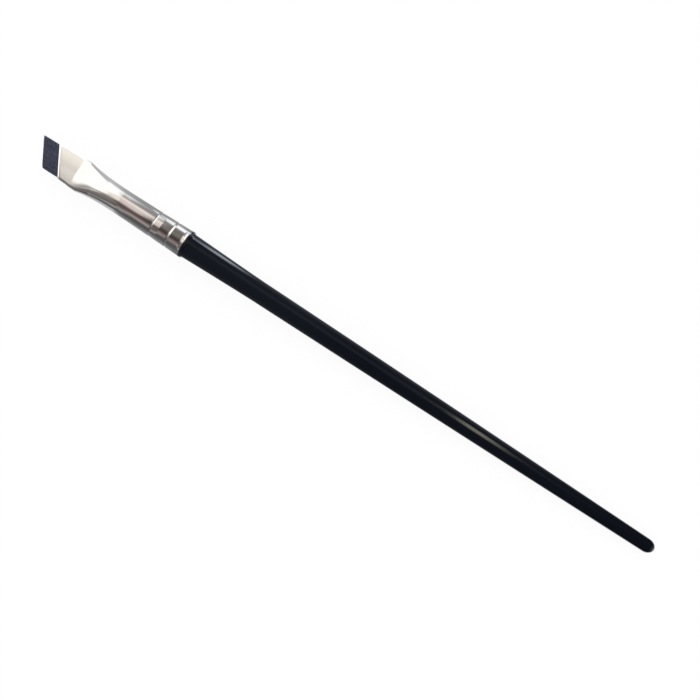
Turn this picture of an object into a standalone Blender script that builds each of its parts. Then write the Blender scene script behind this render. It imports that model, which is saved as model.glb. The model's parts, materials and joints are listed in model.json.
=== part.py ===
"""Angled tint brush: a lacquered handle, a plated ferrule and a tuft cut on a slant.

Five solids: handle, ferrule, bristle_tuft, resin_plug and handle_glue. Metres, +Z up. The brush
lies on a flat surface as it does on a table, on the ferrule's rear lip and the end of the tail,
with its flat side up and down. X runs from the tuft to the tail, +Y is the side of the longest
bristles, and the origin is under the middle of the whole brush.

Each piece is modelled along the brush's own axis, which starts at the ferrule's rear edge. A
distance "ahead" runs from there towards the tuft, and a distance "behind" towards the tail.
"""
import math
import random

import bmesh
import bpy
from mathutils import Vector

MM = 0.001

# Handle, outside the ferrule
HANDLE_LENGTH = 132.8 * MM      # from the ferrule's rear edge to the tip of the tail
NECK_DIAMETER = 6.33 * MM       # just behind the shoulder
BODY_DIAMETER = 5.49 * MM       # of the slim body, carried forward to the ferrule
TAIL_DIAMETER = 3.44 * MM       # where the dome starts
SWELL_LENGTH = 21.0 * MM        # over which the neck comes down to the slim body
DOME_LENGTH = 2.2 * MM
SHOULDER_LENGTH = 0.35 * MM
SHOULDER_SET_IN = 0.04 * MM     # of the shoulder, inside the ferrule's lip
SHOULDER_EDGE = 0.08 * MM       # rounding of its two corners
BODY_CURVE = 1.4                # how the taper gathers towards the tail
SWELL_CURVE = 1.3               # how the swelling dies away

# Ferrule
LIP_DIAMETER = 7.06 * MM        # outside, at the rear
WAIST_DIAMETER = 6.36 * MM      # outside, where the tube starts to flatten
BLADE_WIDTH = 7.94 * MM         # outside, where the ferrule is widest
BLADE_THICKNESS = 2.40 * MM     # outside
BLADE_CORNER = 0.60 * MM        # outer rounding at the blade's two narrow sides
MOUTH_WIDTH = 7.45 * MM         # outside
FERRULE_WALL = 0.25 * MM
WAIST_AHEAD = 18.3 * MM
TIGHTENING_AHEAD = 27.0 * MM    # where the round sides start to get tighter
WIDEST_AHEAD = 29.0 * MM
BLADE_AHEAD = 30.9 * MM         # where the thickness stays the same from
SLANTED_AHEAD = 33.9 * MM       # where the sections lean as far as the mouth does
MOUTH_AHEAD = 35.9 * MM         # at the middle of the mouth
WIDTH_CURVE = 3                 # how late the tube gets wide
CREASE = 0.45                   # how much of the thinning is left for the blade's rear edge
CUT_ANGLE = math.radians(29.5)  # of the mouth and the tuft, off square
LIP_CURL = 0.10 * MM            # how far the rear edge is curled in
LIP_CURL_LENGTH = 0.25 * MM

# Crimps rolled into ferrule and tenon
REAR_CRIMP_AHEAD = 3.9 * MM
REAR_CRIMP_WIDTH = 1.0 * MM
FRONT_CRIMP_AHEAD = 7.7 * MM
FRONT_CRIMP_WIDTH = 2.1 * MM
CRIMP_DEPTH = 0.15 * MM
CRIMP_SLOPE = 0.25 * MM         # length of each sloping side

# Tenon and what holds it
TENON_LENGTH = 15.5 * MM
TENON_CHAMFER = 0.5 * MM
GLUE_STARTS_AHEAD = 10.4 * MM
GLUE_WALL = 0.25 * MM
GLUE_POOL = 1.2 * MM            # in front of the tenon

# Tuft and the resin that holds its roots
TUFT_FREE_LENGTH = 4.60 * MM    # out of the mouth, along the axis
TUFT_TIP_THICKNESS = 1.00 * MM
TUFT_TIP_SPREAD = 0.02 * MM     # of the tips past the roots, at each side
TUFT_RECESS = 0.6 * MM          # of the resin's face inside the mouth
TUFT_SIDE_THICKNESS = 1.40 * MM  # of the roots at the two narrow sides of the mouth
TUFT_SIDE_ROOM = 0.05 * MM      # more clearance there, where the mouth is round
TUFT_SIDE_CURVE = 12            # how late the tuft thins towards those sides
ROOT_SLICE = 1.2 * MM           # of the resin that is one piece with the filaments
PLUG_ENDS_AHEAD = 22.5 * MM
FILAMENT_COLUMNS = 48
FILAMENT_ROWS = 8
FILAMENT_GAP = 0.03 * MM        # between neighbours at their roots
FILAMENT_TIP_SHARE = 0.7        # of the root's width, left at the tip
FILAMENT_STRAY = 0.006 * MM     # how far a tip leans out of line
FILAMENT_UNEVEN = 0.06 * MM     # how much shorter a tip may be

FIT = 0.10 * MM                 # clearance between pieces that touch on the real brush
SIDES = 24                      # round the ferrule and the handle, one of them flat on the table
SWELL_STEPS = 6                 # along the swelling behind the shoulder
BODY_STEPS = 14                 # along the slim body
DOME_STEPS = 4
FLATTEN_STEPS = 9               # from the waist to the widest place
SHARP_EDGE = math.radians(30)   # from which an edge is shaded as an edge
MERGE_DISTANCE = 0.001 * MM

SLANT = math.tan(CUT_ANGLE)
FLATS = 1.0 / math.cos(math.pi / SIDES)  # corner radius of a polygon that is one unit to its sides

MATERIALS = {
    "black_lacquer": ((0.012, 0.014, 0.022), 0.12, 0.0),
    "plated_metal": ((0.78, 0.76, 0.74), 0.14, 1.0),
    "dark_filament": ((0.052, 0.048, 0.075), 0.45, 0.0),
    "clear_resin": ((0.62, 0.50, 0.30), 0.30, 0.0),
    "wood_glue": ((0.72, 0.66, 0.50), 0.50, 0.0),
}


def clear_scene():
    """Remove the objects that a new file starts with."""
    for old in list(bpy.data.objects):
        bpy.data.objects.remove(old, do_unlink=True)


def material(name):
    """A Principled material from its colour, roughness and metallic value."""
    colour, roughness, metallic = MATERIALS[name]
    made = bpy.data.materials.new(name)
    made.use_nodes = True
    shader = made.node_tree.nodes["Principled BSDF"]
    shader.inputs["Base Color"].default_value = (*colour, 1.0)
    shader.inputs["Roughness"].default_value = roughness
    shader.inputs["Metallic"].default_value = metallic
    return made


def place(name, mesh, material_name, collection, axis):
    """One named object that lies along the brush's axis."""
    mesh.materials.append(material(material_name))
    mesh.shade_smooth()
    mesh.set_sharp_from_angle(angle=SHARP_EDGE)
    made = bpy.data.objects.new(name, mesh)
    collection.objects.link(made)
    made.parent = axis
    return made


def finish_mesh(bm, name):
    """The mesh of a bmesh, with its faces pointing out."""
    bmesh.ops.recalc_face_normals(bm, faces=bm.faces)
    mesh = bpy.data.meshes.new(name)
    bm.to_mesh(mesh)
    bm.free()
    return mesh


def ease(share):
    """A share from 0 to 1, easing in and out."""
    held = min(max(share, 0.0), 1.0)
    return held * held * (3.0 - 2.0 * held)


def blend(start, end, share):
    """The value at a share of the way from start to end."""
    return start + (end - start) * share


def tube_radius(ahead):
    """Outer radius of the round part of the ferrule, without its lip and crimps."""
    return blend(LIP_DIAMETER, WAIST_DIAMETER, min(ahead / WAIST_AHEAD, 1.0)) / 2


def share_of(value, start, end):
    """How far a value is on the way from start to end, held between 0 and 1."""
    return min(max((value - start) / (end - start), 0.0), 1.0)


def ferrule_section(ahead):
    """Half width, half thickness, rounding and slant of the ferrule, this far ahead."""
    if ahead <= WAIST_AHEAD:
        return tube_radius(ahead), tube_radius(ahead), tube_radius(ahead), 0.0
    widening = share_of(ahead, WAIST_AHEAD, WIDEST_AHEAD) ** WIDTH_CURVE
    narrowing = share_of(ahead, WIDEST_AHEAD, MOUTH_AHEAD)
    width = blend(WAIST_DIAMETER, BLADE_WIDTH, widening) + (MOUTH_WIDTH - BLADE_WIDTH) * narrowing
    pressed = share_of(ahead, WAIST_AHEAD, BLADE_AHEAD)
    thinning = blend(ease(pressed), pressed**2, CREASE)
    thickness = blend(WAIST_DIAMETER, BLADE_THICKNESS, thinning)
    rounding = blend(thickness / 2, BLADE_CORNER, share_of(ahead, TIGHTENING_AHEAD, BLADE_AHEAD))
    return width / 2, thickness / 2, rounding, SLANT * share_of(ahead, BLADE_AHEAD, SLANTED_AHEAD)


def rolled_stations():
    """How far ahead the lip and the crimps bend the round tube, and how deep each is there."""
    stations = [(0.0, LIP_CURL), (LIP_CURL_LENGTH, 0.0)]
    crimps = ((REAR_CRIMP_AHEAD, REAR_CRIMP_WIDTH), (FRONT_CRIMP_AHEAD, FRONT_CRIMP_WIDTH))
    for middle, width in crimps:
        floor = width / 2 - min(CRIMP_SLOPE, width / 3)
        stations += [
            (middle - width / 2, 0.0),
            (middle - floor, CRIMP_DEPTH),
            (middle + floor, CRIMP_DEPTH),
            (middle + width / 2, 0.0),
        ]
    return stations


def flattened_stations():
    """Places along the tube from its waist to the mouth."""
    steps = [blend(WAIST_AHEAD, WIDEST_AHEAD, i / FLATTEN_STEPS) for i in range(FLATTEN_STEPS + 1)]
    return steps + [BLADE_AHEAD, SLANTED_AHEAD, MOUTH_AHEAD]


def section_ring(ahead, inset=0.0):
    """Corners of one section: a circle whose quarters are pulled apart."""
    half_width, half_thickness, rounding, slant = ferrule_section(ahead)
    radius = rounding - inset
    points = []
    for i in range(SIDES):
        angle = 2 * math.pi * (i + 0.5) / SIDES
        pulled_y = math.copysign(half_width - rounding, math.cos(angle))
        pulled_z = math.copysign(half_thickness - rounding, math.sin(angle))
        y = pulled_y + radius * FLATS * math.cos(angle)
        z = pulled_z + radius * FLATS * math.sin(angle)
        points.append(Vector((-(ahead + slant * y), y, z)))
    return points


def loft(rings, name, meets_itself=False):
    """A skin over rings of points, which is capped at both ends or meets its own start."""
    bm = bmesh.new()
    rows = [[bm.verts.new(point) for point in ring] for ring in rings]
    pairs = list(zip(rows, rows[1:]))
    if meets_itself:
        pairs.append((rows[-1], rows[0]))
    for near, far in pairs:
        for i in range(SIDES):
            j = (i + 1) % SIDES
            bm.faces.new((near[i], near[j], far[j], far[i]))
    if not meets_itself:
        bm.faces.new(rows[0])
        bm.faces.new(rows[-1])
    return finish_mesh(bm, name)


def turned(profile, name, material_name, collection, axis):
    """A turned piece from (behind, radius) pairs that run down its outside from the tail end."""
    half_step = math.pi / SIDES
    points = []
    for behind, radius in profile:
        corner = radius * FLATS
        points.append((corner * math.cos(half_step), corner * math.sin(half_step), behind))
    mesh = bpy.data.meshes.new(name)
    mesh.from_pydata(points, [(i, i + 1) for i in range(len(points) - 1)], [])
    made = place(name, mesh, material_name, collection, axis)
    made.rotation_euler = (0.0, math.pi / 2, 0.0)
    screw = made.modifiers.new("turn", "SCREW")
    screw.axis = "Z"
    screw.steps = SIDES
    screw.render_steps = SIDES
    screw.use_merge_vertices = True
    screw.merge_threshold = MERGE_DISTANCE
    return made


def handle_radius(behind):
    """Radius of the lacquered handle behind its shoulder."""
    share = behind / (HANDLE_LENGTH - DOME_LENGTH)
    body = blend(BODY_DIAMETER, TAIL_DIAMETER, share**BODY_CURVE) / 2
    swell = max(1.0 - behind / SWELL_LENGTH, 0.0) ** SWELL_CURVE
    return body + (NECK_DIAMETER - BODY_DIAMETER) / 2 * swell


def handle_profile():
    """The handle from the tip of its tail to the front of its tenon."""
    dome_start = HANDLE_LENGTH - DOME_LENGTH
    profile = []
    for i in range(DOME_STEPS):
        angle = math.pi / 2 * (1.0 - i / DOME_STEPS)
        profile.append((dome_start + DOME_LENGTH * math.sin(angle), TAIL_DIAMETER / 2 * math.cos(angle)))

    shoulder_front = FIT
    shoulder_back = shoulder_front + SHOULDER_LENGTH
    slim_steps = [blend(dome_start, SWELL_LENGTH, i / BODY_STEPS) for i in range(BODY_STEPS)]
    swell_steps = [blend(SWELL_LENGTH, shoulder_back, i / SWELL_STEPS) for i in range(SWELL_STEPS + 1)]
    profile += [(behind, handle_radius(behind)) for behind in slim_steps + swell_steps]

    shoulder = LIP_DIAMETER / 2 - SHOULDER_SET_IN
    profile += [
        (shoulder_back, shoulder - SHOULDER_EDGE),
        (shoulder_back - SHOULDER_EDGE, shoulder),
        (shoulder_front + SHOULDER_EDGE, shoulder),
        (shoulder_front, shoulder - SHOULDER_EDGE),
    ]
    return profile + tenon_profile(shoulder_front)


def tenon_profile(shoulder_front):
    """The tenon, which follows the inside of the ferrule and leaves room for the glue."""
    snug = FERRULE_WALL + FIT
    profile = [(shoulder_front, tube_radius(0.0) - LIP_CURL - snug)]
    profile += [(-ahead, tube_radius(ahead) - depth - snug) for ahead, depth in rolled_stations()]
    relieved = glue_inner_radius() - FIT
    step = GLUE_STARTS_AHEAD - FIT
    profile += [
        (-step, tube_radius(step) - snug),
        (-step, relieved),
        (-(TENON_LENGTH - TENON_CHAMFER), relieved),
        (-TENON_LENGTH, relieved - TENON_CHAMFER),
        (-TENON_LENGTH, 0.0),
    ]
    return profile


def glue_ends_ahead():
    """Where the pool of glue in front of the tenon ends."""
    return TENON_LENGTH + FIT + GLUE_POOL


def glue_inner_radius():
    """Radius of the hole in the glue that the tenon's front sits in."""
    return tube_radius(glue_ends_ahead()) - FERRULE_WALL - FIT - GLUE_WALL


def glue_profile():
    """The glue: a cup over the front of the tenon, against the ferrule's wall."""
    snug = FERRULE_WALL + FIT
    return [
        (-(TENON_LENGTH + FIT), 0.0),
        (-(TENON_LENGTH + FIT), glue_inner_radius()),
        (-GLUE_STARTS_AHEAD, glue_inner_radius()),
        (-GLUE_STARTS_AHEAD, tube_radius(GLUE_STARTS_AHEAD) - snug),
        (-glue_ends_ahead(), tube_radius(glue_ends_ahead()) - snug),
        (-glue_ends_ahead(), 0.0),
    ]


def ferrule_mesh():
    """The ferrule: its outside from the lip to the mouth, and its inside back to the lip."""
    stations = rolled_stations() + [(ahead, 0.0) for ahead in flattened_stations()]
    outside = [section_ring(ahead, depth) for ahead, depth in stations]
    inside = [section_ring(ahead, depth + FERRULE_WALL) for ahead, depth in reversed(stations)]
    return loft(outside + inside, "ferrule", meets_itself=True)


def resin_face_ahead():
    """Where the face that the filaments rise from lies, at the middle of the mouth."""
    return MOUTH_AHEAD - TUFT_RECESS


def plug_mesh():
    """The block of resin behind the roots, which fills the flattened tube."""
    front = resin_face_ahead() - ROOT_SLICE - FIT
    between = [ahead for ahead in flattened_stations() if PLUG_ENDS_AHEAD < ahead < front]
    stations = [PLUG_ENDS_AHEAD] + between + [front]
    return loft([section_ring(ahead, FERRULE_WALL + FIT) for ahead in stations], "resin_plug")


def tuft_root_half_width():
    """Half the width of the filaments' roots, inside the mouth."""
    half_width = ferrule_section(resin_face_ahead())[0]
    return half_width - FERRULE_WALL - FIT - TUFT_SIDE_ROOM


def root_point(across, through):
    """A point of the resin's face, from shares between -1 and 1 of its width and thickness."""
    middle = BLADE_THICKNESS / 2 - FERRULE_WALL - FIT
    side = TUFT_SIDE_THICKNESS / 2
    y = across * tuft_root_half_width()
    z = through * blend(middle, side, abs(across) ** TUFT_SIDE_CURVE)
    return Vector((-(resin_face_ahead() + SLANT * y), y, z))


def tuft_mesh():
    """A slice of resin, and the filaments that rise from it to one slanting cut."""
    bm = bmesh.new()
    bmesh.ops.create_grid(bm, x_segments=FILAMENT_COLUMNS, y_segments=FILAMENT_ROWS, size=1.0)
    for vert in bm.verts:
        vert.co = root_point(vert.co.x, vert.co.y)
    roots = list(bm.faces)

    rim = [edge for edge in bm.edges if edge.is_boundary]
    skirt = bmesh.ops.extrude_edge_only(bm, edges=rim)["geom"]
    back = [item for item in skirt if isinstance(item, bmesh.types.BMVert)]
    bmesh.ops.translate(bm, verts=back, vec=(ROOT_SLICE, 0.0, 0.0))
    bmesh.ops.holes_fill(bm, edges=[edge for edge in bm.edges if edge.is_boundary])
    bmesh.ops.recalc_face_normals(bm, faces=bm.faces)

    bmesh.ops.inset_individual(bm, faces=roots, thickness=FILAMENT_GAP / 2, use_even_offset=True)
    tips = bmesh.ops.extrude_discrete_faces(bm, faces=roots)["faces"]
    stray = random.Random(5)
    for tip in tips:
        move_tip(tip, stray)
    return finish_mesh(bm, "bristle_tuft")


def move_tip(tip, stray):
    """Take one filament's end from its root to the slanting cut, drawn together and thinner."""
    spread = 1.0 + TUFT_TIP_SPREAD / tuft_root_half_width()
    thinning = TUFT_TIP_THICKNESS / (BLADE_THICKNESS - 2 * (FERRULE_WALL + FIT))
    middle = tip.calc_center_median()
    lean_y = stray.uniform(-FILAMENT_STRAY, FILAMENT_STRAY)
    lean_z = stray.uniform(-FILAMENT_STRAY, FILAMENT_STRAY) * thinning
    tip_ahead = MOUTH_AHEAD + TUFT_FREE_LENGTH - stray.uniform(0.0, FILAMENT_UNEVEN)
    for vert in tip.verts:
        y = (middle.y + (vert.co.y - middle.y) * FILAMENT_TIP_SHARE) * spread + lean_y
        z = (middle.z + (vert.co.z - middle.z) * FILAMENT_TIP_SHARE) * thinning + lean_z
        vert.co = (-(tip_ahead + SLANT * y), y, z)


def brush_axis(collection):
    """The empty that lays the brush on the table, on the ferrule's lip and the end of the tail."""
    lip_place = -LIP_CURL_LENGTH
    tail_place = HANDLE_LENGTH - DOME_LENGTH
    tilt = math.atan((LIP_DIAMETER - TAIL_DIAMETER) / 2 / (tail_place - lip_place))
    tip_half_width = tuft_root_half_width() + TUFT_TIP_SPREAD
    head_length = MOUTH_AHEAD + TUFT_FREE_LENGTH + SLANT * tip_half_width
    made = bpy.data.objects.new("brush_axis", None)
    collection.objects.link(made)
    made.rotation_euler = (0.0, tilt, 0.0)
    made.location = (
        (head_length - HANDLE_LENGTH) / 2 * math.cos(tilt),
        0.0,
        LIP_DIAMETER / 2 * math.cos(tilt) + lip_place * math.sin(tilt),
    )
    return made


def main():
    """Build the brush."""
    clear_scene()
    collection = bpy.data.collections.new("angled_tint_brush")
    bpy.context.scene.collection.children.link(collection)
    axis = brush_axis(collection)
    turned(handle_profile(), "handle", "black_lacquer", collection, axis)
    turned(glue_profile(), "handle_glue", "wood_glue", collection, axis)
    place("ferrule", ferrule_mesh(), "plated_metal", collection, axis)
    place("resin_plug", plug_mesh(), "clear_resin", collection, axis)
    place("bristle_tuft", tuft_mesh(), "dark_filament", collection, axis)


main()
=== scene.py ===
# %% [markdown]
# An angled tint brush, seen from straight above: a lacquered stick, a plated metal ferrule and a
# short tuft cut on a slant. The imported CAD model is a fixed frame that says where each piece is.
# Everything that shows is modelled again here, finer, round the same axis, and takes its place.

import json
import math
import random

import bmesh
import bpy
from mathutils import Matrix, Vector


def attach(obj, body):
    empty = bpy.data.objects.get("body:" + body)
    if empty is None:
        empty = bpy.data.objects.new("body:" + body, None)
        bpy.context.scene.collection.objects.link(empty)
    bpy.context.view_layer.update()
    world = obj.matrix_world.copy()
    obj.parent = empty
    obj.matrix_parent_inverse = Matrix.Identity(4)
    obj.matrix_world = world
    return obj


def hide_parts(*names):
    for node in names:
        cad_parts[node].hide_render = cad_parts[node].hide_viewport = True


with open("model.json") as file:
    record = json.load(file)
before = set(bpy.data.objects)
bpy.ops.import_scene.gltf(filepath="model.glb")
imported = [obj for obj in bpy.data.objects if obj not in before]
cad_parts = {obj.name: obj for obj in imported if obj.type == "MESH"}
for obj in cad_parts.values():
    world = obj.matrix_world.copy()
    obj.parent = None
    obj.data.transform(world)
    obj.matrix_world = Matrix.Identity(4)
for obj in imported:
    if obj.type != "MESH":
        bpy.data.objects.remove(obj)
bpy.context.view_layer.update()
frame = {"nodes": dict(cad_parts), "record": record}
MM = 0.001
print("nodes:", sorted(frame["nodes"]))

# %% [markdown]
# The brush lies on the table on the ferrule's rear lip and on its tail, so its axis leans a
# little. It would be possible to read the lean off a picture, but the record already states it:
# the flat face of the ferrule's blade is a mount, and its normal is the brush's own up. With that
# lean and the ferrule's box, one matrix carries the brush's own axes to the table. In those axes
# x runs from the ferrule's rear edge towards the tail, +y is the side of the longest bristles,
# and every shape below is written in them.

# %% The brush's own axes
blade_mount = next(mount for mount in frame["record"]["mounts"] if mount["name"] == "blade_top")
lean = math.atan2(blade_mount["axis"][0], blade_mount["axis"][2])
turn = Matrix.Rotation(lean, 4, "Y")


def box_along_brush(node):
    """The lowest and highest corners of a CAD node, measured along the leaning axes."""
    points = [turn.inverted() @ vert.co for vert in frame["nodes"][node].data.vertices]
    low = Vector(min(point[i] for point in points) for i in range(3))
    high = Vector(max(point[i] for point in points) for i in range(3))
    return low, high


ferrule_low, ferrule_high = box_along_brush("ferrule")
start = Vector((ferrule_high.x, 0.0, (ferrule_low.z + ferrule_high.z) / 2))
to_table = Matrix.Translation(turn @ start) @ turn
tail_end = box_along_brush("handle")[1].x - start.x
tuft_low, tuft_high = box_along_brush("bristle_tuft")
lip_radius = (ferrule_high.z - ferrule_low.z) / 2
print("lean %.2f degrees, tail end at %.1f mm, lip radius %.3f mm"
      % (math.degrees(lean), tail_end / MM, lip_radius / MM))

# %% [markdown]
# The camera comes first, because it fixes how every later detail is seen. The
# photograph was taken from straight above with the brush's flat side up. How much the curved
# rear edge of the ferrule bulges towards the tuft gives the height: about 200 mm, so that a
# normal lens just takes in the 166 mm of table that the frame shows.

# %% Camera
VIEW_WIDTH = 166.5 * MM         # of the frame, at the height of the brush's axis
CAMERA_HEIGHT = 203.0 * MM      # above that axis
AIM_BEHIND = 46.37 * MM         # the ferrule's rear edge, along the axis
AIM_ASIDE = 0.27 * MM           # of the axis, towards the longest bristles
ROLL = math.radians(33.19)
SENSOR = 36.0                   # in millimetres, as Blender counts it
NEAREST_SEEN = 5 * MM

camera = bpy.data.cameras.new("camera")
camera.sensor_width = SENSOR
camera.lens = SENSOR * CAMERA_HEIGHT / VIEW_WIDTH
camera.clip_start = NEAREST_SEEN
camera_object = bpy.data.objects.new("camera", camera)
bpy.context.scene.collection.objects.link(camera_object)
camera_place = Matrix.Translation((AIM_BEHIND, AIM_ASIDE, CAMERA_HEIGHT))
camera_object.matrix_world = to_table @ camera_place @ Matrix.Rotation(ROLL, 4, "Z")
bpy.context.scene.camera = camera_object
print("lens %.1f mm" % camera.lens)

# %% [markdown]
# Materials are small programs, and two helpers let them read like one. The first is a `Value`,
# which wraps a socket, so that `1 - mask * 0.5` adds its own Math nodes.

# %% A value in a shader


class Value:
    """A number that a shader works out. An expression on values adds its Math nodes."""

    def __init__(self, finish, socket):
        self.finish = finish
        self.socket = socket

    def math(self, operation, *others):
        """A Math node whose first socket is this value."""
        return self.finish.math(operation, self, *others)

    def __add__(self, other):
        return self.math("ADD", other)

    def __sub__(self, other):
        return self.math("SUBTRACT", other)

    def __mul__(self, other):
        return self.math("MULTIPLY", other)

    def __truediv__(self, other):
        return self.math("DIVIDE", other)

    def __rsub__(self, other):
        return self.finish.math("SUBTRACT", other, self)

    __radd__ = __add__
    __rmul__ = __mul__

    def between(self, low, high):
        """0 below low, 1 above high, and a soft step on the way. Low may be the higher one."""
        settings = {"interpolation_type": "SMOOTHSTEP"}
        sockets = {"Value": self, "From Min": low, "From Max": high}
        return self.finish.value("MapRange", settings, sockets)


# %% [markdown]
# The second is a `Finish`, which owns one node tree. Its `node` method is the only way that this
# file makes any other node: first the settings, then the sockets. Patterns lie on the object
# coordinates. Every piece has its origin at the world's, so these are metres on the table, and
# `place` turns them into millimetres along the brush.

# %% A finish and its nodes


class Finish:
    """One node tree, and the way that nodes are added to it."""

    def __init__(self, owner):
        owner.use_nodes = True
        self.owner = owner
        self.tree = owner.node_tree
        self.tree.nodes.clear()

    def node(self, kind, settings=None, sockets=None):
        """A node of a kind, with its settings made first and then its sockets set or linked."""
        made = self.tree.nodes.new("ShaderNode" + kind)
        for name, setting in (settings or {}).items():
            if name == "stops":
                self.set_stops(made.color_ramp, setting)
            else:
                setattr(made, name, setting)
        for name, value in (sockets or {}).items():
            target = made.inputs[name]
            if isinstance(value, Value):
                self.tree.links.new(value.socket, target)
            elif isinstance(value, bpy.types.NodeSocket):
                self.tree.links.new(value, target)
            else:
                target.default_value = value
        return made

    def set_stops(self, ramp, stops):
        """Give a colour ramp its stops, as places and colours."""
        while len(ramp.elements) < len(stops):
            ramp.elements.new(1.0)
        for element, (place, colour) in zip(ramp.elements, stops):
            element.position = place
            element.color = (*colour, 1.0)

    def value(self, kind, settings=None, sockets=None, output=0):
        """The number that a node gives."""
        return Value(self, self.node(kind, settings, sockets).outputs[output])

    def math(self, operation, *numbers):
        """A Math node on numbers or values."""
        return self.value("Math", {"operation": operation}, dict(enumerate(numbers)))

    def colour(self, share, low, high):
        """A colour on the way from low to high, which may be colours or sockets."""
        settings = {"data_type": "RGBA"}
        sides = [(*side, 1.0) if isinstance(side, tuple) else side for side in (low, high)]
        return self.node("Mix", settings, {0: share, 6: sides[0], 7: sides[1]}).outputs[2]

    def place(self, scale=(1.0, 1.0, 1.0)):
        """Where a point is in the brush's own axes, in millimetres times a scale."""
        here = self.node("TexCoord").outputs["Object"]
        centred = self.node("Mapping", {"vector_type": "TEXTURE"}, {
            "Vector": here,
            "Location": to_table.translation,
            "Rotation": to_table.to_euler(),
        }).outputs[0]
        sized = self.node("VectorMath", {"operation": "MULTIPLY"}, {
            0: centred,
            1: tuple(part / MM for part in scale),
        })
        return sized.outputs[0]

    def noise(self, scale, size=1.0, detail=2.0, roughness=0.5):
        """A noise pattern from 0 to 1, whose grain is about size millimetres times 1 / scale."""
        sockets = {
            "Vector": self.place(scale),
            "Scale": 1.0 / size,
            "Detail": detail,
            "Roughness": roughness,
        }
        return self.value("TexNoise", None, sockets)

    def bump(self, height, distance, strength=1.0):
        """A normal that is bent by a height from 0 to 1, of that depth."""
        sockets = {"Height": height, "Distance": distance, "Strength": strength}
        return self.node("Bump", None, sockets).outputs[0]

    def surface(self, shader):
        """Let a shader be what shows."""
        kind = "OutputWorld" if isinstance(self.owner, bpy.types.World) else "OutputMaterial"
        self.node(kind, None, {"Surface": shader})


def new_finish(name):
    """A finish in a new material."""
    return Finish(bpy.data.materials.new(name))


def band(value, low, high, soft):
    """1 between low and high, with soft edges."""
    rise = value.between(low - soft / 2, low + soft / 2)
    return rise * value.between(high + soft / 2, high - soft / 2)


# %% [markdown]
# A helper for pieces: it carries a mesh from the brush's axes to the table, shades it smooth,
# lets it ride on the only body that the model has and hides the CAD node that it stands for.

# %% Add a piece
SHARP_EDGE = math.radians(38)


def add_piece(name, bm, finishes, node):
    """Turn a bmesh in the brush's axes into a finished piece."""
    bmesh.ops.transform(bm, matrix=to_table, verts=bm.verts)
    mesh = bpy.data.meshes.new(name)
    bm.to_mesh(mesh)
    bm.free()
    mesh.shade_smooth()
    mesh.set_sharp_from_angle(angle=SHARP_EDGE)
    for finish in finishes:
        mesh.materials.append(finish.owner)
    piece = bpy.data.objects.new(name, mesh)
    bpy.context.scene.collection.objects.link(piece)
    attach(piece, "root")
    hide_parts(node)
    triangles = sum(len(face.vertices) - 2 for face in mesh.polygons)
    print(name, triangles, "triangles")
    return piece


def share_between(low, high, share):
    """The value at a share of the way from low to high."""
    return low + (high - low) * share


def ease(share):
    """A share from 0 to 1, easing in and out."""
    held = min(max(share, 0.0), 1.0)
    return held * held * (3.0 - 2.0 * held)


# %% [markdown]
# The stick is turned wood, so its piece is turned too: a chain of points is spun round the axis.
# The outside has three parts. A long body gathers its taper towards the tail, a swelling dies
# away behind the ferrule, and a dome closes the tail. A short shoulder as wide as the ferrule
# stops the tube, and the tenon inside it follows the crimps.

# %% Sizes of the stick
NECK_RADIUS = 3.165 * MM
BODY_RADIUS = 2.745 * MM
TAIL_RADIUS = 1.72 * MM
SWELL_LENGTH = 21.0 * MM
BODY_CURVE = 1.4
SWELL_CURVE = 1.3
DOME_LENGTH = 2.2 * MM
DOME_STEPS = 12
SHOULDER_START = 0.06 * MM
SHOULDER_END = 0.45 * MM
SHOULDER_SET_IN = 0.04 * MM
SHOULDER_ROUNDING = 0.08 * MM
SHOULDER_FILLET = 0.25 * MM
ROUNDED_CORNER = ((0.0, 0.6), (0.3, 0.15), (1.0, 0.0))  # in from the face, down from the top
HOLLOW_CORNER = ((0.4, 0.15), (0.1, 0.5))               # out from the face, up from the foot
TENON_LENGTH = 15.5 * MM
TENON_CHAMFER = 0.5 * MM
LACQUERED_AHEAD = 0.4 * MM      # how far the lacquer runs in under the ferrule
GLUE_STARTS = 10.3 * MM
GLUE_ROOM = 0.45 * MM
BODY_STEP = 1.5 * MM            # between points of the profile
SWELL_STEP = 0.7 * MM
TENON_STEP = 0.2 * MM
ROUND_STEPS = 96


def stick_radius(behind):
    """The stick's radius this far behind the ferrule's rear edge."""
    share = min(behind / (tail_end - DOME_LENGTH), 1.0)
    body = share_between(BODY_RADIUS, TAIL_RADIUS, share**BODY_CURVE)
    swell = max(1.0 - behind / SWELL_LENGTH, 0.0) ** SWELL_CURVE
    return body + (NECK_RADIUS - BODY_RADIUS) * swell


print("stick radius %.2f mm at its neck" % (stick_radius(SHOULDER_END) / MM))

# %% [markdown]
# The ferrule's rolled shapes are needed for the tenon as well, so they come next. The tube is a
# slim cone. Its rear lip is bell-mouthed by a tenth of a millimetre and curled in at the very
# edge. The front crimp starts as a long shallow groove, bends, gets deeper and ends in a steep
# step, which is why it shows as a light band with a bright line. The rear crimp is narrow.

# %% Shape of the round tube
WAIST_RADIUS = 3.18 * MM
WAIST_AHEAD = 17.5 * MM         # where the tube is narrowest and the press takes hold
WALL = 0.25 * MM
LIP_CURL = 0.03 * MM
LIP_CURL_LENGTH = 0.05 * MM
FLARE_LENGTH = 1.30 * MM
FLARE_DIP = 0.105 * MM
REAR_CRIMP_REAR = 3.55 * MM
REAR_CRIMP_FRONT = 4.22 * MM
REAR_CRIMP_DEPTH = 0.125 * MM
FRONT_CRIMP_REAR = 6.60 * MM
FRONT_CRIMP_BEND = 8.30 * MM
FRONT_CRIMP_FRONT = 8.72 * MM
FRONT_CRIMP_SHALLOW = 0.070 * MM
FRONT_CRIMP_DEPTH = 0.14 * MM
CRIMP_STEP = 0.09 * MM          # length of the steep side of each groove
FIT = 0.10 * MM                 # between the tube and the tenon


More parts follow.
